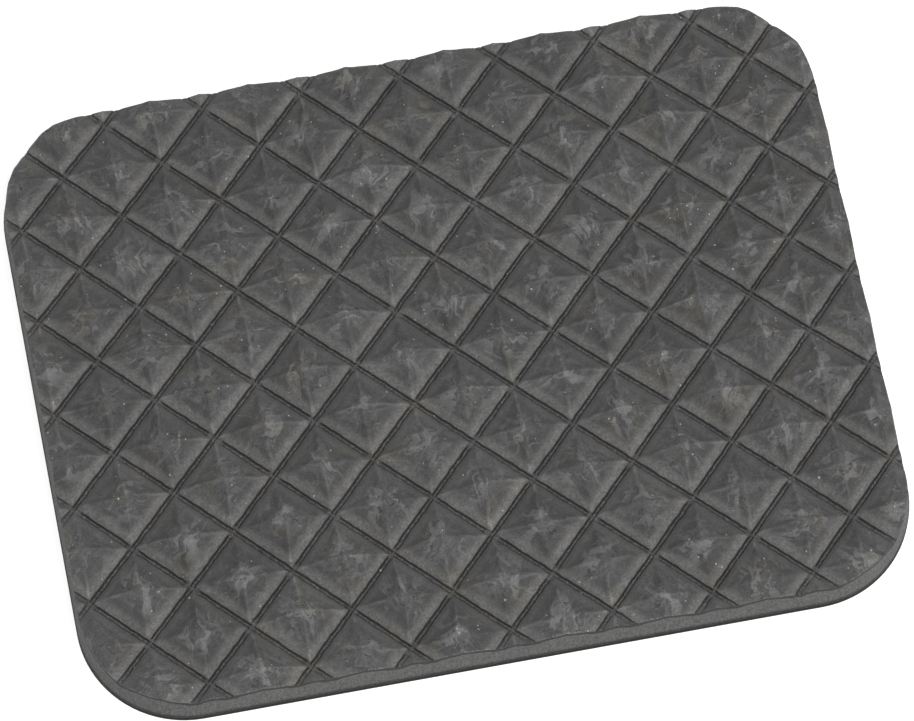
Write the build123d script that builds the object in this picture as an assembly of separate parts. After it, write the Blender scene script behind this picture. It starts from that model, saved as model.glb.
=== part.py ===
from build123d import *

import math
import os

os.makedirs("parts", exist_ok=True)

# Snowboard stomp pad: a moulded foam tread on double-coated foam tape, with a split release liner.
# Millimetres. The origin is the middle of the underside, +X runs along the long side and
# +Z points up out of the tread.

# Outline of the die-cut foam
PAD_LENGTH = 130.9
PAD_WIDTH = 100.5
CORNER_RADIUS = 16.5

# Moulded tread: square pyramids between two families of grooves, at 45 degrees to the sides
CELL_PITCH = 11.24
PATTERN_SHIFT_X = 0.17
PATTERN_SHIFT_Y = 0.3
GROOVE_WIDTH = 0.88
GROOVE_DEPTH = 0.7
RIM_HEIGHT = 4.9
BEVEL_WIDTH = 1.0
BEVEL_RISE = 0.6
PYRAMID_RISE = 2.8

# The blade squeezes the foam, which springs back and leaves the foot of the wall standing out
FOOT_FLARE = 0.6
FOOT_HEIGHT = 2.4

# Double-coated foam tape and liner, which keep the outline that the blade cuts at the foot
TAPE_MARGIN = 0.65
ADHESIVE_THICKNESS = 0.08
CARRIER_THICKNESS = 1.14
LINER_THICKNESS = 0.15
LINER_SLIT = 0.3

# Heights of the layers, from the liner's underside up
liner_top = LINER_THICKNESS
board_glue_top = liner_top + ADHESIVE_THICKNESS
carrier_top = board_glue_top + CARRIER_THICKNESS
foam_bottom = carrier_top + ADHESIVE_THICKNESS
rim_z = foam_bottom + RIM_HEIGHT
floor_z = rim_z - GROOVE_DEPTH
bevel_z = rim_z + BEVEL_RISE
apex_z = rim_z + PYRAMID_RISE


def outline(margin):
    """The pad's rounded rectangle, moved outward all round by margin."""
    return RectangleRounded(PAD_LENGTH + 2 * margin, PAD_WIDTH + 2 * margin, CORNER_RADIUS + margin)


def layer(margin, bottom, thickness):
    """A flat layer of the outline's shape."""
    return Pos(0, 0, bottom) * extrude(outline(margin), amount=thickness)


def above_ribs(angle):
    """Everything above one family of grooves and the roof-shaped ribs between them.

    The grooves run square to the direction at this angle from +X.
    """
    across = Vector(math.cos(math.radians(angle)), math.sin(math.radians(angle)), 0)
    reach = math.hypot(PAD_LENGTH, PAD_WIDTH) / 2 + CELL_PITCH
    grooves_per_side = math.ceil(reach / CELL_PITCH)
    half_groove = GROOVE_WIDTH / 2
    half_bevel = half_groove + BEVEL_WIDTH

    profile = [(-(grooves_per_side + 0.5) * CELL_PITCH, apex_z)]
    for index in range(-grooves_per_side, grooves_per_side + 1):
        middle = index * CELL_PITCH
        profile += [
            (middle - half_bevel, bevel_z),
            (middle - half_groove, rim_z),
            (middle - half_groove, floor_z),
            (middle + half_groove, floor_z),
            (middle + half_groove, rim_z),
            (middle + half_bevel, bevel_z),
            (middle + CELL_PITCH / 2, apex_z),
        ]
    left, right = profile[0][0], profile[-1][0]
    headroom = apex_z + PYRAMID_RISE
    profile += [(right, headroom), (left, headroom)]

    section = Plane(
        origin=(PATTERN_SHIFT_X, PATTERN_SHIFT_Y, 0),
        x_dir=across,
        z_dir=across.cross(Vector(0, 0, 1)),
    )
    return extrude(section * make_face(Polyline(*profile, close=True)), amount=reach, both=True)


def tread_pad():
    """The foam: a blank with a flared foot, less the two families of grooves."""
    flare_angle = math.degrees(math.atan2(FOOT_FLARE, FOOT_HEIGHT))
    foot = Pos(0, 0, foam_bottom) * extrude(
        outline(FOOT_FLARE), amount=FOOT_HEIGHT, taper=flare_angle
    )
    wall = layer(0, foam_bottom + FOOT_HEIGHT, apex_z - foam_bottom - FOOT_HEIGHT)
    return foot + wall - above_ribs(45) - above_ribs(-45)


def liner_half(side):
    """One half of the split liner: side is -1 for the left half and +1 for the right."""
    half_length = PAD_LENGTH / 2 + TAPE_MARGIN
    keep_length = half_length - LINER_SLIT / 2
    keep = Pos(side * (LINER_SLIT / 2 + keep_length / 2), 0, LINER_THICKNESS / 2) * Box(
        keep_length, PAD_WIDTH + 4 * TAPE_MARGIN, 2 * LINER_THICKNESS
    )
    return layer(TAPE_MARGIN, 0, LINER_THICKNESS) & keep


nodes = {
    "tread_pad": tread_pad(),
    "foam_side_adhesive": layer(TAPE_MARGIN, carrier_top, ADHESIVE_THICKNESS),
    "tape_carrier": layer(TAPE_MARGIN, board_glue_top, CARRIER_THICKNESS),
    "board_side_adhesive": layer(TAPE_MARGIN, liner_top, ADHESIVE_THICKNESS),
    "release_liner_left": liner_half(-1),
    "release_liner_right": liner_half(1),
}
for name, shape in nodes.items():
    export_step(shape, f"parts/{name}.step")
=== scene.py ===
import math

import bpy
from mathutils import Matrix, Vector


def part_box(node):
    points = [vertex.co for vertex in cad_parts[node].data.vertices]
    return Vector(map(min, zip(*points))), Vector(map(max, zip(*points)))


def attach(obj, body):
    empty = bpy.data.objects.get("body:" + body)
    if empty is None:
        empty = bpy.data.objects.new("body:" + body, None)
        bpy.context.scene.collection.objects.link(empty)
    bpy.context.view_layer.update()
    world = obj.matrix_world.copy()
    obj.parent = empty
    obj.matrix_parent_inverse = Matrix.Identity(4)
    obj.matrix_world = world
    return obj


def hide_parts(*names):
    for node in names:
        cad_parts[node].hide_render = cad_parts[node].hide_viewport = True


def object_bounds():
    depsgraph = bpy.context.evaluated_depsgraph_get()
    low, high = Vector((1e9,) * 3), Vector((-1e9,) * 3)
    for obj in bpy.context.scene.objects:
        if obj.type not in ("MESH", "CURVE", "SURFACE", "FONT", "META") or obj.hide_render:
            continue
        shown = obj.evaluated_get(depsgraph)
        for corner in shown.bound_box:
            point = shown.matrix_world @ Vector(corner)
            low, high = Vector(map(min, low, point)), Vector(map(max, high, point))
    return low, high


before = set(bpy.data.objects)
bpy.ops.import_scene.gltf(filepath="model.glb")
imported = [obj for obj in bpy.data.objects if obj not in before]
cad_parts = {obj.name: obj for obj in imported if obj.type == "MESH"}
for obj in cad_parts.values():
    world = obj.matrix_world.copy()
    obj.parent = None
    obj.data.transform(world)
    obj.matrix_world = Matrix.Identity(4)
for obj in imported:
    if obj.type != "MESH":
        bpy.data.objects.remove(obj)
cad_low, cad_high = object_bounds()

# Snowboard stomp pad: a moulded foam tread on double-coated foam tape, with a split release liner.
# Everything is in metres, so sizes below are given in millimetres times MM.
MM = 0.001

# Moulded tread, the same sizes as in the CAD model
CELL_PITCH = 11.24 * MM
PATTERN_SHIFT = Vector((0.17, 0.3, 0)) * MM
GROOVE_WIDTH = 0.88 * MM
GROOVE_DEPTH = 0.7 * MM
BEVEL_WIDTH = 1.0 * MM
BEVEL_RISE = 0.6 * MM
PYRAMID_RISE = 2.8 * MM
CORNER_RADIUS = 16.5 * MM
FOOT_FLARE = 0.6 * MM

# Widths in a groove, from its edge inwards: its wall, a slit, and then the bead in its middle
WALL_RUN = 0.08 * MM
SLIT_RUN = 0.16 * MM

# Depth of the visible grooves as a share of the CAD model's
GROOVE_SHARE = 0.8

# Steps of the tread's mesh from the middle of a groove to the middle of a pyramid
BEAD_STEPS = 2
SLIT_STEPS = 1
WALL_STEPS = 1
BEVEL_STEPS = 3
FACE_STEPS = 10

# Steps of the cut edge's mesh round the outline and up the wall
OUTLINE_STEPS = 900
EDGE_ROWS = 18
CORNER_POINTS = 40

# Points closer than this are one point
MERGE_DISTANCE = 0.01 * MM

# Grey levels of the foam: its moulded skin, its cut side and the thin skin line above that
SKIN_TONE = 0.08
CUT_TONE = 0.132
SKIN_LINE_TONE = 0.03


class Wire:
    """An output socket of a node tree. Python's operators on it add Math nodes to its tree."""

    def __init__(self, tree, socket):
        self.tree = tree
        self.socket = socket

    def output(self, name):
        """Another output of the same node."""
        return Wire(self.tree, self.socket.node.outputs[name])

    def math(self, operation, *values):
        """A Math node in this wire's tree, of the given values only."""
        return self.tree.node("ShaderNodeMath", {"operation": operation}, *values)

    def __add__(self, other):
        return self.math("ADD", self, other)

    def __radd__(self, other):
        return self.math("ADD", other, self)

    def __sub__(self, other):
        return self.math("SUBTRACT", self, other)

    def __rsub__(self, other):
        return self.math("SUBTRACT", other, self)

    def __mul__(self, other):
        return self.math("MULTIPLY", self, other)

    def __rmul__(self, other):
        return self.math("MULTIPLY", other, self)

    def __truediv__(self, other):
        return self.math("DIVIDE", self, other)

    def __pow__(self, other):
        return self.math("POWER", self, other)

    def __gt__(self, other):
        return self.math("GREATER_THAN", self, other)

    def __lt__(self, other):
        return self.math("LESS_THAN", self, other)

    def __abs__(self):
        return self.math("ABSOLUTE", self)

    def least(self, other):
        return self.math("MINIMUM", self, other)

    def most(self, other):
        return self.math("MAXIMUM", self, other)

    def ramp(self, low, high, bottom=0.0, top=1.0, shape="LINEAR"):
        """Rises or falls from bottom to top while this value goes from low to high."""
        settings = {"interpolation_type": shape}
        return self.tree.node("ShaderNodeMapRange", settings, self, low, high, bottom, top)

    def soft(self, low, high):
        """A smooth step from 0 at low to 1 at high."""
        return self.ramp(low, high, shape="SMOOTHSTEP")


class Tree:
    """A shader or Geometry Nodes tree that is filled by calls to node."""

    def __init__(self, nodes_and_links):
        self.made = nodes_and_links

    def node(self, kind, settings=None, *values, **by_name):
        """Adds a node: settings first, then values or wires for its sockets, by order or name."""
        made = self.made.nodes.new(kind)
        for name, value in (settings or {}).items():
            setattr(made, name, value)
        sockets = [socket for socket in made.inputs if socket.enabled]
        for socket, value in zip(sockets, values):
            self.feed(socket, value)
        for name, value in by_name.items():
            wanted = name.replace("_", " ")
            self.feed(next(socket for socket in sockets if socket.name == wanted), value)
        outputs = [socket for socket in made.outputs if socket.enabled]
        return Wire(self, outputs[0]) if outputs else made

    def feed(self, socket, value):
        """Links a wire, or several wires, to a socket, or sets the socket's value."""
        if isinstance(value, list):
            for wire in reversed(value):
                self.made.links.new(wire.socket, socket)
        elif isinstance(value, Wire):
            self.made.links.new(value.socket, socket)
        elif value is not None:
            socket.default_value = value

    def split(self, vector):
        """The X, Y and Z of a vector."""
        parts = self.node("ShaderNodeSeparateXYZ", None, vector)
        return parts, parts.output("Y"), parts.output("Z")

    def join(self, x=0.0, y=0.0, z=0.0):
        return self.node("ShaderNodeCombineXYZ", None, x, y, z)

    def vector(self, operation, *values, **by_name):
        return self.node("ShaderNodeVectorMath", {"operation": operation}, *values, **by_name)

    def noise(self, vector, scale, detail=2.0, roughness=0.5, distortion=0.0):
        """Cloudy noise, from 0 to 1 about 0.5."""
        return self.node(
            "ShaderNodeTexNoise", None, vector,
            Scale=scale, Detail=detail, Roughness=roughness, Distortion=distortion,
        )

    def mix(self, factor, first, second):
        """Mixes two colours, given as wires or as (red, green, blue)."""
        colours = [c if isinstance(c, Wire) else (*c, 1.0) for c in (first, second)]
        return self.node("ShaderNodeMix", {"data_type": "RGBA"}, factor, *colours)


def empty_tree(owner):
    """The node tree of a material or world, with nothing in it yet."""
    owner.use_nodes = True
    owner.node_tree.nodes.clear()
    return Tree(owner.node_tree)


# ---------------------------------------------------------------- tread, by Geometry Nodes

def tree_input(group, name, kind, value=None):
    """Adds a named input to a Geometry Nodes tree."""
    socket = group.interface.new_socket(name, in_out="INPUT", socket_type=kind)
    if value is not None:
        socket.default_value = value


def tread_tree(sizes):
    """The tree that makes the foam pad: pyramids and grooves, cut to the outline."""
    group = bpy.data.node_groups.new("moulded foam pad", "GeometryNodeTree")
    group.interface.new_socket("Geometry", in_out="OUTPUT", socket_type="NodeSocketGeometry")
    for name, value in sizes.items():
        kind = "NodeSocketInt" if isinstance(value, int) else "NodeSocketFloat"
        tree_input(group, name, kind, value)
    tree_input(group, "Moulded Skin", "NodeSocketMaterial")
    tree_input(group, "Cut Foam", "NodeSocketMaterial")

    t = Tree(group)
    given = t.node("NodeGroupInput")
    size = {name: given.output(name) for name in sizes}
    sheet = pyramid_sheet(t, size)
    moulded = moulded_block(t, size, sheet)
    blank = cut_blank(t, size)
    pad = t.node(
        "GeometryNodeMeshBoolean", {"operation": "INTERSECT", "solver": "MANIFOLD"},
        [moulded, blank],
    )
    pad = skin_depth(t, size, pad, moulded)
    pad = t.node("GeometryNodeRealizeInstances", None, pad)
    pad = t.node("GeometryNodeSetMaterial", None, pad, Material=given.output("Moulded Skin"))
    on_the_cut = stored(t, "cut") > 0.5
    pad = t.node(
        "GeometryNodeSetMaterial", None, pad,
        Selection=on_the_cut, Material=given.output("Cut Foam"),
    )
    out = t.node("NodeGroupOutput")
    t.feed(out.inputs[0], pad)
    return group


def store(t, geometry, name, value, domain="POINT"):
    """Keeps a value on the mesh as a named attribute, for the materials to read."""
    settings = {"data_type": "FLOAT", "domain": domain}
    return t.node("GeometryNodeStoreNamedAttribute", settings, geometry, None, name, value)


def stored(t, name):
    """A value that was kept on the mesh."""
    return t.node("GeometryNodeInputNamedAttribute", {"data_type": "FLOAT"}, name)


def noise_about_zero(t, vector, scale, detail):
    """Three cloudy noises, each from -0.5 to 0.5."""
    cloud = t.noise(vector, scale, detail).output("Color")
    return t.split(t.vector("SUBTRACT", cloud, (0.5, 0.5, 0.5)))


def pyramid_sheet(t, size):
    """A flat sheet of square cells, with its mesh lines along grooves, bevels and ridges."""
    steps = BEAD_STEPS + SLIT_STEPS + WALL_STEPS + BEVEL_STEPS + FACE_STEPS
    grid = t.node("GeometryNodeMeshGrid", None, 1.0, 1.0, steps + 1, steps + 1)
    x, y, _ = t.split(t.node("GeometryNodeInputPosition"))
    half_groove = size["Groove Width"] / 2
    bead_run = half_groove - size["Wall Run"] - size["Slit Run"]
    face_run = size["Cell Pitch"] / 2 - half_groove - size["Bevel Width"]

    def spread(coordinate):
        """Distance from the groove's middle, for a line of the quarter cell's grid."""
        line = (coordinate + 0.5) * steps
        distance, start = 0.0, 0
        runs = [
            (BEAD_STEPS, bead_run),
            (SLIT_STEPS, size["Slit Run"]),
            (WALL_STEPS, size["Wall Run"]),
            (BEVEL_STEPS, size["Bevel Width"]),
            (FACE_STEPS, face_run),
        ]
        for count, run in runs:
            distance = line.ramp(start, start + count, 0.0, run) + distance
            start += count
        return distance

    quarter = t.node("GeometryNodeSetPosition", None, grid, Position=t.join(spread(x), spread(y)))
    quarter = t.node("GeometryNodeTriangulate", {"quad_method": "FIXED"}, quarter)
    quarters = [
        t.node("GeometryNodeTransform", None, quarter, Rotation=(0, 0, math.radians(turn)))
        for turn in (0, 90, 180, 270)
    ]
    patch = t.node("GeometryNodeJoinGeometry", None, quarters)

    # one patch round each crossing of two grooves that lies on or just beyond the pad
    pitch = size["Cell Pitch"]
    across = 2 * math.ceil((cad_high - cad_low).length / 2 / CELL_PITCH) + 1
    lattice = t.node(
        "GeometryNodeMeshGrid", None, pitch * (across - 1), pitch * (across - 1), across, across
    )
    u, v, _ = t.split(t.node("GeometryNodeInputPosition"))
    reach = 0.75 * pitch
    beyond_end = abs(u - v) / math.sqrt(2) > size["Pad Length"] / 2 + reach
    beyond_side = abs(u + v) / math.sqrt(2) > size["Pad Width"] / 2 + reach
    lattice = t.node("GeometryNodeDeleteGeometry", None, lattice, beyond_end.most(beyond_side))
    sheet = t.node("GeometryNodeInstanceOnPoints", None, lattice, Instance=patch)
    sheet = t.node("GeometryNodeRealizeInstances", None, sheet)
    sheet = t.node("GeometryNodeMergeByDistance", None, sheet, Distance=MERGE_DISTANCE)

    # how far each point is from a groove, a ridge and the middle of its pyramid, in millimetres
    to_u, to_v = u.math("PINGPONG", u, pitch / 2), u.math("PINGPONG", v, pitch / 2)
    middle_u, middle_v = pitch / 2 - to_u, pitch / 2 - to_v
    apex = (middle_u * middle_u + middle_v * middle_v) ** 0.5
    sheet = store(t, sheet, "groove", to_u.least(to_v) / MM)
    sheet = store(t, sheet, "ridge", abs(to_u - to_v) / MM)
    sheet = store(t, sheet, "apex", apex / MM)
    sheet = store(t, sheet, "tip_u", (u.math("FRACT", u / pitch) - 0.5) * pitch / MM)
    sheet = store(t, sheet, "tip_v", (v.math("FRACT", v / pitch) - 0.5) * pitch / MM)
    chance = cell_chance(t, size, u, v)
    return store(t, sheet, "cell", t.split(chance)[0])


def cell_chance(t, size, u, v):
    """Three random numbers for each pyramid."""
    pitch = size["Cell Pitch"]
    cell = t.join(u.math("FLOOR", u / pitch), v.math("FLOOR", v / pitch), size["Seed"])
    return t.node("ShaderNodeTexWhiteNoise", None, cell).output("Color")


def inside_edge(size, u, v):
    """How far a point of the pattern lies inside the pad's outline."""
    radius = size["Corner Radius"]
    past_end = abs((u - v) / math.sqrt(2) + size["Shift X"]) - size["Pad Length"] / 2 + radius
    past_side = abs((u + v) / math.sqrt(2) + size["Shift Y"]) - size["Pad Width"] / 2 + radius
    corner = (past_end.most(0) ** 2 + past_side.most(0) ** 2) ** 0.5
    return radius - corner - past_end.most(past_side).least(0)


def groove_cut(t, size, u, v):
    """1 in the grooves and 0 beside them. At each crossing one of the two grooves is bridged."""
    pitch, half_groove = size["Cell Pitch"], size["Groove Width"] / 2
    crossing = t.join(u.math("ROUND", u / pitch), v.math("ROUND", v / pitch), size["Seed"] + 5)
    chance = t.split(t.node("ShaderNodeTexWhiteNoise", None, crossing).output("Color"))
    to_u, to_v = u.math("PINGPONG", u, pitch / 2), u.math("PINGPONG", v, pitch / 2)

    def one_groove(across, along, bridged, reach):
        """Depth of one groove, less its bridge, which is gone 0.85 to 1.55 mm from a crossing."""
        depth = across.ramp(half_groove - size["Wall Run"], half_groove, 1.0, 0.0)
        bridge = along.soft((reach * 0.7 + 0.85) * MM, (reach * 0.5 + 0.6) * MM)
        return depth * (1 - bridge * bridged)

    first = chance[0] > 0.5
    bridge_height = 0.85
    along_v = one_groove(to_u, to_v, first * bridge_height, chance[1])
    along_u = one_groove(to_v, to_u, (1 - first) * bridge_height, chance[2])
    return along_u.most(along_v)


def moulded_block(t, size, sheet):
    """A closed block under the moulded surface, larger than the pad all round."""
    block_height = 12 * MM
    top_and_sides = t.node(
        "GeometryNodeExtrudeMesh", {"mode": "FACES"}, sheet,
        Offset=(0, 0, block_height), Individual=False,
    )
    underside = t.node("GeometryNodeFlipFaces", None, sheet)
    block = t.node("GeometryNodeJoinGeometry", None, [top_and_sides, underside])
    block = t.node("GeometryNodeMergeByDistance", None, block, Distance=MERGE_DISTANCE)

    position = t.node("GeometryNodeInputPosition")
    u, v, z = t.split(position)
    groove, ridge, apex = (stored(t, name) * MM for name in ("groove", "ridge", "apex"))
    half_groove = size["Groove Width"] / 2
    half_bevel = half_groove + size["Bevel Width"]
    half_pitch = size["Cell Pitch"] / 2
    tilt_u, tilt_v, lift = t.split(cell_chance(t, size, u, v))
    climb = groove.ramp(half_bevel, half_pitch)

    # the grooves wander a little, and each pyramid's tip is pushed to one side
    in_mm = t.vector("SCALE", position, Scale=1 / MM)
    placed = t.vector("ADD", in_mm, t.join(size["Seed"], size["Seed"]))
    wander_u, wander_v, _ = noise_about_zero(t, placed, 0.035, 1.0)
    ragged_u, ragged_v, _ = noise_about_zero(t, placed, 0.75, 1.0)
    push = climb * size["Tip Wander"] * 2
    new_u = u + wander_u * size["Groove Wander"] * 2 + push * (tilt_u - 0.5)
    new_v = v + wander_v * size["Groove Wander"] * 2 + push * (tilt_v - 0.5)
    new_u = new_u + ragged_u * size["Groove Raggedness"] * 2
    new_v = new_v + ragged_v * size["Groove Raggedness"] * 2

    # the rows of pyramids bow a little towards the front near the middle of the pad
    bow_middle, mean_square = -0.14, 0.33
    along = (u - v) * math.sqrt(2) / size["Pad Length"] - bow_middle
    bow = (along * along - mean_square) * size["Row Bow"] / math.sqrt(2)
    new_u, new_v = new_u + bow, new_v + bow

    # section from the groove's floor up its wall, the rounded bevel and the hollow face to the tip
    sunk = groove_cut(t, size, u, v)
    roundness = 0.35
    bevel = groove.ramp(half_groove, half_bevel)
    bevel = bevel * (2 - bevel) * roundness + bevel * (1 - roundness)
    face = climb * (climb * size["Hollow"] + (1 - size["Hollow"]))
    face_rise = size["Pyramid Rise"] - size["Bevel Rise"]
    rise = size["Bevel Rise"] * bevel + face_rise * face * (0.88 + 0.12 * lift)

    # tips are pressed flat, dented and crumpled, and the faces are uneven
    tip_level = size["Pyramid Rise"] * (0.86 + 0.1 * tilt_u)
    rise = rise.math("SMOOTH_MIN", rise, tip_level, 0.35 * MM)
    uneven = t.noise(placed, 0.33, 2.0) - 0.5
    crumple = t.noise(placed, 0.85, 2.0, 0.6, 0.6) - 0.5
    near_tip = apex.soft(3.6 * MM, 0.6 * MM)
    crumple_depth = size["Crumple"] * near_tip * lift.ramp(0.15, 0.85, 0.25, 1.0)
    rise = rise + climb.ramp(0, 0.3) * uneven * size["Unevenness"] + crumple * crumple_depth

    # the four ridges stand up between the faces, and fade at the tip
    crest = ridge.soft(1.6 * MM, 0.0) * climb.ramp(0.0, 0.15) * apex.ramp(0.4 * MM, 2.4 * MM)
    rise = rise + size["Ridge Lift"] * crest

    # a bead runs along the floor of each groove, and all of the surface is gritty
    bead = groove.soft(half_groove - size["Wall Run"], 0.1 * MM) * size["Groove Bead"]
    in_groove = groove.soft(half_groove, 0.6 * half_groove)
    grit = (t.noise(placed, 1.6, 2.0) - 0.5) * size["Grit"] * (1 + 2 * in_groove)

    # the blade presses the foam flatter along the edge, grooves and pyramids alike
    edge = inside_edge(size, u, v)
    rise_share = edge.ramp(0.0, 5 * MM, 0.62, 1.0, "SMOOTHSTEP")
    groove_share = edge.ramp(0.0, 3 * MM, 0.45, 1.0, "SMOOTHSTEP")
    groove_depth = (size["Groove Depth"] - bead) * sunk * groove_share
    height = size["Rim Level"] - groove_depth + rise * rise_share + grit

    top = z > block_height / 2
    block = store(t, block, "sunk", sunk)
    block = t.node(
        "GeometryNodeSetPosition", None, block, top, t.join(new_u, new_v, height)
    )
    return t.node(
        "GeometryNodeTransform", None, block,
        Translation=t.join(size["Shift X"], size["Shift Y"]), Rotation=(0, 0, math.radians(45)),
    )


def cut_blank(t, size):
    """The die-cut outline as a closed block whose wall is hollow and stands out at its foot."""
    outline = t.node(
        "GeometryNodeCurvePrimitiveQuadrilateral", None, size["Pad Length"], size["Pad Width"]
    )
    outline = t.node(
        "GeometryNodeFilletCurve", {"mode": "POLY"}, outline,
        Count=CORNER_POINTS, Radius=size["Corner Radius"],
    )
    drum = t.node(
        "GeometryNodeMeshCylinder", None,
        Vertices=OUTLINE_STEPS, Side_Segments=EDGE_ROWS, Radius=1.0, Depth=1.0,
    )
    x, y, z = t.split(t.node("GeometryNodeInputPosition"))
    turn = x.math("ARCTAN2", y, x) / (2 * math.pi)
    lap = turn.math("FRACT", turn)
    sample = t.node("GeometryNodeSampleCurve", {"mode": "FACTOR"}, outline, Factor=lap)
    tangent = sample.output("Tangent")
    outward = t.vector("CROSS_PRODUCT", tangent, (0, 0, 1))

    above_foot = z + 0.5
    headroom = 2 * MM
    height = size["Rim Level"] + size["Pyramid Rise"] + headroom - size["Foam Bottom"]
    level = size["Foam Bottom"] + above_foot * height
    foot = (1 - above_foot.ramp(0.0, 0.5)) ** 1.6 * size["Foot Flare"]
    shoulder = above_foot.ramp(0.35, 0.8, 0.0, 0.1 * MM)
    spot = t.vector("SCALE", sample.output("Position"), Scale=1 / MM)
    spot = t.vector("ADD", spot, t.join(0.0, 0.0, above_foot * 3))
    ragged = (t.noise(spot, 0.4, 3.0, 0.6) - 0.5) * size["Cut Roughness"]
    offset = t.vector("SCALE", outward, Scale=foot + shoulder + ragged)
    place = t.vector("ADD", sample.output("Position"), offset)
    place = t.vector("ADD", place, t.join(0.0, 0.0, level))
    drum = t.node("GeometryNodeSetPosition", None, drum, Position=place)
    return store(t, drum, "cut", 1.0, "FACE")


def skin_depth(t, size, pad, moulded):
    """Keeps each point's distance below the moulded surface, in millimetres."""
    _, _, z = t.split(t.node("GeometryNodeInputPosition"))
    surface = t.node("GeometryNodeSeparateGeometry", {"domain": "POINT"}, moulded, z > 2 * MM)
    near = t.node("GeometryNodeProximity", {"target_element": "FACES"}, surface)
    return store(t, pad, "depth", near.output("Distance") / MM)


def foam_tread(skin, cut_foam):
    """The foam pad as one plain mesh, from its Geometry Nodes tree."""
    low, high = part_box("tread_pad")
    sizes = {
        "Pad Length": high.x - low.x - 2 * FOOT_FLARE,
        "Pad Width": high.y - low.y - 2 * FOOT_FLARE,
        "Corner Radius": CORNER_RADIUS,
        "Foam Bottom": low.z,
        "Rim Level": high.z - PYRAMID_RISE,
        "Cell Pitch": CELL_PITCH,
        "Shift X": PATTERN_SHIFT.x,
        "Shift Y": PATTERN_SHIFT.y,
        "Groove Width": GROOVE_WIDTH,
        "Groove Depth": GROOVE_SHARE * GROOVE_DEPTH,
        "Wall Run": WALL_RUN,
        "Slit Run": SLIT_RUN,
        "Groove Bead": 0.3 * MM,
        "Grit": 0.1 * MM,
        "Bevel Width": BEVEL_WIDTH,
        "Bevel Rise": BEVEL_RISE,
        "Pyramid Rise": PYRAMID_RISE,
        "Hollow": 0.3,
        "Tip Wander": 0.5 * MM,
        "Row Bow": 0.85 * MM,
        "Groove Wander": 0.3 * MM,
        "Groove Raggedness": 0.17 * MM,
        "Unevenness": 0.35 * MM,
        "Crumple": 0.7 * MM,
        "Ridge Lift": 0.36 * MM,
        "Foot Flare": 0.58 * MM,
        "Cut Roughness": 0.12 * MM,
        "Seed": 7,
    }
    group = tread_tree(sizes)
    host = bpy.data.objects.new("tread host", bpy.data.meshes.new("tread host"))
    bpy.context.scene.collection.objects.link(host)
    modifier = host.modifiers.new("tread", "NODES")
    modifier.node_group = group
    values = {**sizes, "Moulded Skin": skin, "Cut Foam": cut_foam}
    for item in group.interface.items_tree:
        if item.in_out == "INPUT":
            modifier[item.identifier] = values[item.name]
    graph = bpy.context.evaluated_depsgraph_get()
    mesh = bpy.data.meshes.new_from_object(host.evaluated_get(graph), depsgraph=graph)
    mesh.name = "moulded_foam_tread"
    bpy.data.objects.remove(host)
    mesh.shade_smooth()
    mesh.set_sharp_from_angle(angle=math.radians(38))
    pad = bpy.data.objects.new("moulded_foam_tread", mesh)
    bpy.context.scene.collection.objects.link(pad)
    return pad


# ---------------------------------------------------------------- materials

def new_material(name):
    """An empty material with its tree and its Principled shader's node."""
    material = bpy.data.materials.new(name)
    t = empty_tree(material)
    shader = material.node_tree.nodes.new("ShaderNodeBsdfPrincipled")
    output = material.node_tree.nodes.new("ShaderNodeOutputMaterial")
    material.node_tree.links.new(shader.outputs[0], output.inputs[0])
    return material, t, shader


def object_mm(t):
    """Object coordinates in millimetres."""
    place = t.node("ShaderNodeTexCoord").output("Object")
    return t.vector("SCALE", place, Scale=1 / MM)


def attribute(t, name):
    return t.node("ShaderNodeAttribute", {"attribute_name": name}).output("Fac")


def bump(t, height, distance, strength):
    """A bump whose height of 1 stands for the given distance in metres."""
    return t.node("ShaderNodeBump", None, Strength=strength, Distance=distance, Height=height)


def feed_shader(t, shader, colour, roughness, normal):
    """Feeds what changes over the surface to the shader."""
    t.feed(shader.inputs["Base Color"], colour)
    t.feed(shader.inputs["Roughness"], roughness)
    t.feed(shader.inputs["Normal"], normal)


def combed(t, at, cell, along, across, layer):
    """Coordinates for marks that are drawn out one way, which differs from pyramid to pyramid."""
    x, y, _ = t.split(at)
    lie = cell * 40
    cosine, sine = lie.math("COSINE", lie), lie.math("SINE", lie)
    return t.join(
        (x * cosine + y * sine) * along, (y * cosine - x * sine) * across, cell * layer
    )


def lit_front_bevels(t, at, groove, tip_u, tip_v):
    """Painted highlight on the two front bevels of each pyramid, which face the lamp, over a faint
    streaky paleness that every bevel has.
    """
    streak = t.noise(at, 1.7, 4.0, 0.7, 0.5).soft(0.3, 0.7)
    bevel = groove.soft(0.4, 0.5) * groove.soft(2.4, 0.8)
    right_side = (0 - tip_v - abs(tip_u)).soft(-1.0, 0.9)
    left_side = (0 - tip_u - abs(tip_v)).soft(-1.0, 0.9)
    return bevel * (right_side + 0.8 * left_side + 0.12) * (0.35 + 0.75 * streak)


def ridge_streaks(t, at, groove, tip_u, tip_v, broken):
    """Thin streaks that run in from the corners along some of the ridges."""
    waver = (t.noise(at, 0.3, 2.0) - 0.5) * 0.9
    here = t.noise(at, 0.12, 1.0).soft(0.42, 0.58)
    from_corner = groove.soft(3.6, 0.6)
    streak = abs(abs(tip_u) - abs(tip_v) + waver).soft(0.55, 0.06)
    return streak * groove.soft(0.4, 0.9) * (0.35 + 0.65 * from_corner) * broken * here


def crushed_star(t, at, cell, tip_u, tip_v):
    """How far a place lies outside the ragged star of a crushed tip. Its arms follow the ridges."""
    waved_u, waved_v, _ = noise_about_zero(t, at, 0.3, 2.0)
    star_u, star_v = tip_u + 4.5 * waved_u, tip_v + 4.5 * waved_v
    one_arm = abs(star_u + star_v) / math.sqrt(2)
    other_arm = abs(star_u - star_v) / math.sqrt(2)
    return one_arm ** 0.6 + other_arm ** 0.6 - cell.ramp(0, 1, 2.1, 3.3)


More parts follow.
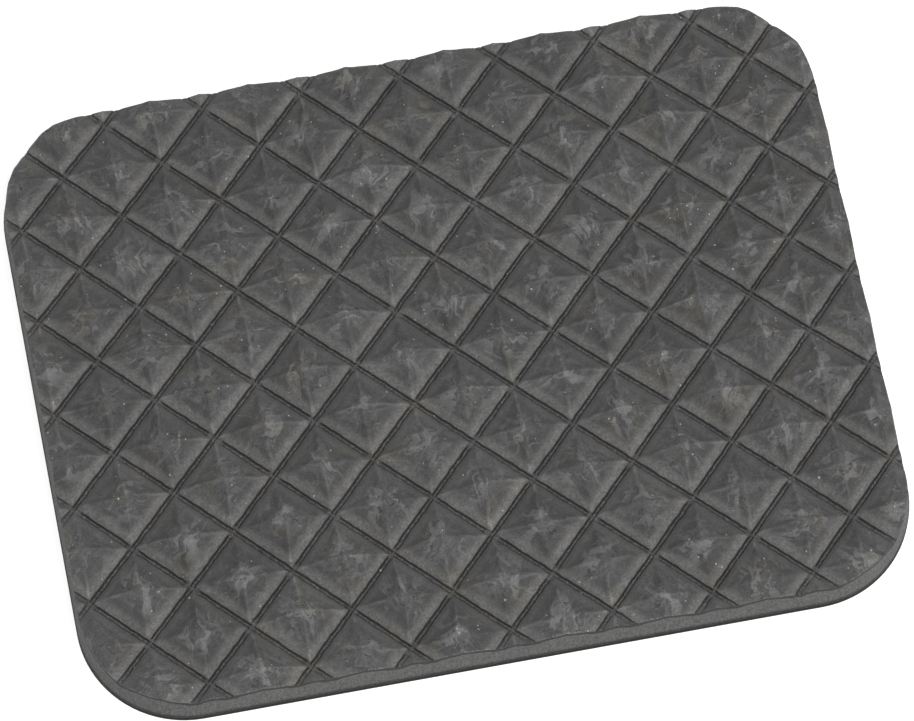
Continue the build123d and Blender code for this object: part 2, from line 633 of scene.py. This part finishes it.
def fanned_strokes(t, at, cell, apex, tip_u, tip_v):
    """Strokes that fan out from the tips."""
    ray = t.join(tip_u / apex * 1.7, tip_v / apex * 1.7, apex * 0.16 + cell * 60)
    stroke = t.noise(ray, 1.7, 3.0, 0.6, 0.3).soft(0.52, 0.66) * apex.soft(6.2, 2.4)
    return stroke * t.noise(at, 0.3, 2.0).soft(0.4, 0.52)


def crushed_skin(t, at, swept, apex, mottle):
    """Folds, each with one crisp edge, and the dents and fine cracks between them."""
    folds = t.noise(swept, 0.26, 2.5, 0.55, 0.5) * 6.0
    fold = folds.math("FRACT", folds) ** 3 * apex.soft(6.4, 2.2)
    fold = fold * t.noise(at, 0.24, 2.0).soft(0.44, 0.55)
    dent = t.noise(swept, 1.1, 3.0, 0.65, 0.6).soft(0.6, 0.72) * apex.soft(4.4, 1.4)
    crazed = t.node("ShaderNodeTexVoronoi", {"feature": "DISTANCE_TO_EDGE"}, swept, Scale=0.9)
    crack = crazed.soft(0.12, 0.015) * apex.soft(4.8, 1.6) * mottle.soft(0.45, 0.6)
    return fold, dent, crack


def groove_shade(t, at, groove, sunk, tip_u, tip_v):
    """What is left of the tone in a groove: painted shade in two slits, deepest along the far wall,
    a little painted light in the near slit, and a gritty bead between them.
    """
    grit = t.noise(at, 2.6, 3.0, 0.7)
    frayed = groove + (grit - 0.5) * 0.45
    slit = frayed.soft(0.16, 0.3) * frayed.soft(0.56, 0.46) * sunk.soft(0.2, 0.8)
    # the far wall's slit gets the painted shadow, the near slit a little painted light
    far_wall = (tip_u + tip_v).soft(1.0, -1.0)
    bead = groove.soft(0.24, 0.12)
    return (1 - slit * (0.32 * far_wall - 0.1)) * (1 - bead * (0.45 - grit.soft(0.38, 0.68)))


def skin_material():
    """The heat-moulded skin of the foam: grey-black, mottled, scuffed and dusty."""
    material, t, shader = new_material("moulded_foam_skin")
    at = object_mm(t)
    groove, apex, cell = (attribute(t, name) for name in ("groove", "apex", "cell"))
    tip_u, tip_v, sunk = (attribute(t, name) for name in ("tip_u", "tip_v", "sunk"))

    cloud = t.noise(at, 0.16, 3.0, 0.6)
    mottle = t.noise(at, 1.0, 3.0, 0.65)
    grain = t.noise(at, 3.4, 3.0, 0.75)
    tone = SKIN_TONE * (0.84 + 0.32 * cloud.soft(0.25, 0.75)) * (0.84 + 0.32 * mottle)
    tone = tone * (0.77 + 0.46 * grain.soft(0.3, 0.7)) * cell.ramp(0, 1, 0.95, 1.05)

    # painted highlight on the front bevels, which face the lamp, and painted shade in the hollow of
    # each face
    bevel_highlight = lit_front_bevels(t, at, groove, tip_u, tip_v)
    hollow = groove.soft(1.2, 2.2) * apex.soft(1.0, 2.6)
    tone = tone * (1 + 0.9 * bevel_highlight) * (1 - 0.19 * hollow)

    # marks of the crushed tips and ridges
    broken = t.noise(at, 0.6, 3.0, 0.6).soft(0.32, 0.52)
    tone = tone + 0.065 * ridge_streaks(t, at, groove, tip_u, tip_v, broken)
    outside = crushed_star(t, at, cell, tip_u, tip_v)
    star = outside.soft(0.25, -0.25)
    star_rim = star * outside.soft(-0.75, -0.1) * broken
    tone = tone * (1 + 0.08 * star) + 0.024 * star_rim

    # strokes, and smears that are wiped one way on each pyramid
    warp = t.vector("SCALE", t.noise(at, 0.4, 2.0).output("Color"), Scale=4.0)
    swept = t.vector("ADD", at, warp)
    wiped = combed(t, swept, cell, 0.55, 1.5, 30)
    smear = t.noise(wiped, 0.36, 4.0, 0.6, 0.6).soft(0.545, 0.58) * apex.soft(5.4, 1.8)
    tone = tone + 0.02 * fanned_strokes(t, at, cell, apex, tip_u, tip_v) + 0.06 * smear

    # folded and barked skin, short scratches, and dents and cracks; the dents also get painted
    # shade
    fold, dent, crack = crushed_skin(t, at, swept, apex, mottle)
    bark = (mottle - 0.5) * apex.soft(5.0, 1.5)
    tone = (tone + 0.032 * fold) * (1 + 0.8 * bark)
    scratched = combed(t, at, cell, 0.3, 2.4, 50)
    scratch = t.noise(scratched, 0.7, 2.0, 0.6).soft(0.58, 0.66) * apex.soft(6.6, 3.0)
    tone = tone + 0.045 * scratch * t.noise(swept, 0.3, 1.0).soft(0.55, 0.6)
    # painted shade in the dents, and darker fine cracks of the skin
    tone = tone * (1 - 0.5 * dent) * (1 - 0.3 * crack)
    tone = tone * groove_shade(t, at, groove, sunk, tip_u, tip_v)

    # some patches are a little brown, and the painted bevel highlight is tinted warm as well
    patch = t.noise(at, 0.22, 3.0, 0.6).soft(0.54, 0.64)
    warm = (patch * 1.1).most(bevel_highlight * 0.6)
    red, green, blue = tone * (1 + 0.04 * warm), tone * (1 + 0.01 * warm), tone * (1 - 0.065 * warm)
    colour = t.node("ShaderNodeCombineColor", None, red, green, blue)
    colour = t.mix(dust(t, at, apex), colour, (0.46, 0.46, 0.44))
    height = grain * 0.5 + mottle * 0.9 - dent * 1.2
    roughness = 0.74 + 0.1 * mottle - 0.18 * smear
    feed_shader(t, shader, colour, roughness, bump(t, height, 0.12 * MM, 0.9))
    return material


def dust(t, at, apex):
    """Small pale specks of dust and lint, which gather round the tips."""
    edges = (t.noise(at, 4.0, 2.0) - 0.5) * 0.25
    found = 0.0
    # cells per mm, share of bare cells and largest radius as a share of a cell
    for scale, share, size in ((0.5, 0.72, 0.1), (1.2, 0.84, 0.18)):
        cells = t.node("ShaderNodeTexVoronoi", {"feature": "F1"}, at, Scale=scale, Randomness=1.0)
        chance = t.node("ShaderNodeSeparateColor", None, cells.output("Color"))
        wanted = share + apex.soft(2.0, 6.0) * 0.08
        radius = chance.ramp(wanted, 1.0, 0.0, size)
        speck = (cells.output("Distance") + edges * radius < radius) * 0.8
        found = speck.most(found)
    return found


def cut_material():
    """The blade-cut side of the foam: paler open cells under a thin dark skin."""
    material, t, shader = new_material("cut_foam")
    at = object_mm(t)
    depth = attribute(t, "depth")
    bubbles = t.node("ShaderNodeTexVoronoi", {"feature": "F1"}, at, Scale=3.2, Randomness=1.0)
    pore = bubbles.output("Distance").soft(0.42, 0.15)
    x, y, z = t.split(at)
    grain = t.noise(t.join(x, y, z * 0.4), 3.0, 3.0, 0.75)
    cloud = t.noise(at, 0.5, 2.0)
    drag = t.noise(t.join(x, y, z * 0.1), 2.2, 2.0, 0.6)
    tone = CUT_TONE * (0.7 + 0.6 * grain.soft(0.34, 0.66))
    tone = tone * (0.9 + 0.2 * cloud) * (0.8 + 0.4 * drag) * (1 - 0.35 * pore)

    # painted contact shade darkens the foot, and the moulded skin shows as a dark line along the
    # top
    tone = tone * (1 - 0.6 * z.soft(2.3, 1.5))
    wavy = depth + (t.noise(at, 1.2, 3.0) - 0.5) * 0.35
    skin = wavy.soft(1.05, 0.6)
    tone = tone * (1 - skin) + SKIN_LINE_TONE * skin
    colour = t.node("ShaderNodeCombineColor", None, tone * 1.01, tone, tone * 0.985)
    height = grain * 0.6 - pore * 0.8 + drag * 0.5
    feed_shader(t, shader, colour, 0.85 + 0.1 * grain, bump(t, height, 0.12 * MM, 0.8))
    return material


def glue_material():
    """Acrylic glue on black tape: glossy, dimpled and catching a little dust."""
    material, t, shader = new_material("tape_glue")
    at = object_mm(t)
    dimple = t.noise(at, 0.7, 3.0, 0.6)
    specks = t.noise(at, 2.5, 2.0, 0.7).soft(0.6, 0.72)
    tone = 0.012 + 0.01 * dimple + 0.03 * specks
    colour = t.node("ShaderNodeCombineColor", None, tone, tone, tone)
    roughness = 0.25 + 0.25 * dimple + 0.3 * specks
    feed_shader(t, shader, colour, roughness, bump(t, dimple, 0.05 * MM, 0.6))
    return material


def carrier_material():
    """The black foam between the two glue layers."""
    material, t, shader = new_material("tape_carrier_foam")
    at = object_mm(t)
    grain = t.noise(at, 3.0, 3.0, 0.7)
    tone = 0.012 + 0.012 * grain
    colour = t.node("ShaderNodeCombineColor", None, tone, tone, tone)
    t.feed(shader.inputs["Specular IOR Level"], 0.15)
    feed_shader(t, shader, colour, 0.75 + 0.2 * grain, bump(t, grain, 0.05 * MM, 0.6))
    return material


def liner_material():
    """Silicone-coated kraft paper: cream, with fibres and a soft gloss."""
    material, t, shader = new_material("release_liner_paper")
    at = object_mm(t)
    x, y, z = t.split(at)
    fibre = t.noise(t.join(x * 0.5, y * 3.0, z), 0.9, 4.0, 0.7, 0.6)
    cloud = t.noise(at, 0.09, 3.0, 0.6)
    tone = (0.9 + 0.12 * fibre) * (0.94 + 0.1 * cloud)
    colour = t.mix(fibre.soft(0.35, 0.75), (0.6, 0.55, 0.45), (0.74, 0.7, 0.61))
    colour = t.vector("SCALE", colour, Scale=tone)
    height = fibre * 0.6 + cloud
    feed_shader(t, shader, colour, 0.38 + 0.2 * fibre, bump(t, height, 0.04 * MM, 0.6))
    return material


def use_material(node, material):
    """Gives a CAD node's object one material in place of its own."""
    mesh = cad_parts[node].data
    mesh.materials.clear()
    mesh.materials.append(material)


# ---------------------------------------------------------------- floor, light and camera

def seen_directly(t):
    """1 for what the camera sees, straight or in a gloss or through glass, and 0 for lighting."""
    path = t.node("ShaderNodeLightPath")
    glossy, clear = path.output("Is Glossy Ray"), path.output("Is Transmission Ray")
    return path.output("Is Camera Ray").most(glossy).most(clear)


def white_floor():
    """A plain white floor that keeps the pad's soft shadow."""
    material = bpy.data.materials.new("white_floor")
    t = empty_tree(material)
    glow_to_white = 0.68
    matt = t.node("ShaderNodeBsdfDiffuse", None, Color=(0.8, 0.8, 0.8, 1.0))
    glow = t.node("ShaderNodeEmission", None, Strength=seen_directly(t) * glow_to_white)
    both = t.node("ShaderNodeAddShader", None, matt, glow)
    t.node("ShaderNodeOutputMaterial", None, both)

    half_side, drop = 4.0, 0.02 * MM
    corners = [(-half_side, -half_side), (half_side, -half_side)]
    corners += [(half_side, half_side), (-half_side, half_side)]
    mesh = bpy.data.meshes.new("floor")
    mesh.from_pydata([(x, y, -drop) for x, y in corners], [], [(0, 1, 2, 3)])
    mesh.materials.append(material)
    floor = bpy.data.objects.new("floor", mesh)
    bpy.context.scene.collection.objects.link(floor)


def white_world():
    """An even dome of light that looks white itself."""
    world = bpy.data.worlds.new("white_dome")
    bpy.context.scene.world = world
    t = empty_tree(world)
    fill = 0.52
    strength = seen_directly(t).ramp(0, 1, fill, 1.0)
    back = t.node("ShaderNodeBackground", None, (1.0, 1.0, 1.0, 1.0), strength)
    t.node("ShaderNodeOutputWorld", None, back)


def softbox(name, azimuth, elevation, distance, side, watts):
    """A square lamp aimed at the pad. Azimuth 0 stands in front of it and 90 on its right."""
    a, e = math.radians(azimuth), math.radians(elevation)
    towards = Vector((math.sin(a) * math.cos(e), -math.cos(a) * math.cos(e), math.sin(e)))
    data = bpy.data.lights.new(name, "AREA")
    data.energy, data.size = watts, side
    lamp = bpy.data.objects.new(name, data)
    lamp.location = towards * distance
    lamp.rotation_euler = towards.to_track_quat("Z", "Y").to_euler()
    bpy.context.scene.collection.objects.link(lamp)


def camera():
    """A long lens that stands high in front of the pad, a little to its left."""
    azimuth, elevation, roll = math.radians(-11.535), math.radians(68.6), math.radians(0.732)
    distance = 1089.7 * MM
    target = Vector((0.243, -1.899, 6.03)) * MM
    back = Vector((
        math.sin(azimuth) * math.cos(elevation),
        -math.cos(azimuth) * math.cos(elevation),
        math.sin(elevation),
    ))
    level = Vector((math.cos(azimuth), math.sin(azimuth), 0))
    up = back.cross(level)
    right = level * math.cos(roll) + up * math.sin(roll)
    turned = Matrix((right, back.cross(right), back)).transposed().to_4x4()
    data = bpy.data.cameras.new("camera")
    data.sensor_width = 36
    data.lens = 272.8
    data.clip_start, data.clip_end = 0.1, 20
    made = bpy.data.objects.new("camera", data)
    made.matrix_world = Matrix.Translation(target + back * distance) @ turned
    bpy.context.scene.collection.objects.link(made)
    bpy.context.scene.camera = made


# ---------------------------------------------------------------- the object

camera()
white_floor()
white_world()
softbox("key", azimuth=38, elevation=55, distance=1.2, side=0.8, watts=7.6)

tread = foam_tread(skin_material(), cut_material())
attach(tread, "pad")
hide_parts("tread_pad")

glue = glue_material()
paper = liner_material()
use_material("foam_side_adhesive", glue)
use_material("board_side_adhesive", glue)
use_material("tape_carrier", carrier_material())
use_material("release_liner_left", paper)
use_material("release_liner_right", paper)

bpy.context.scene.view_settings.view_transform = "Standard"
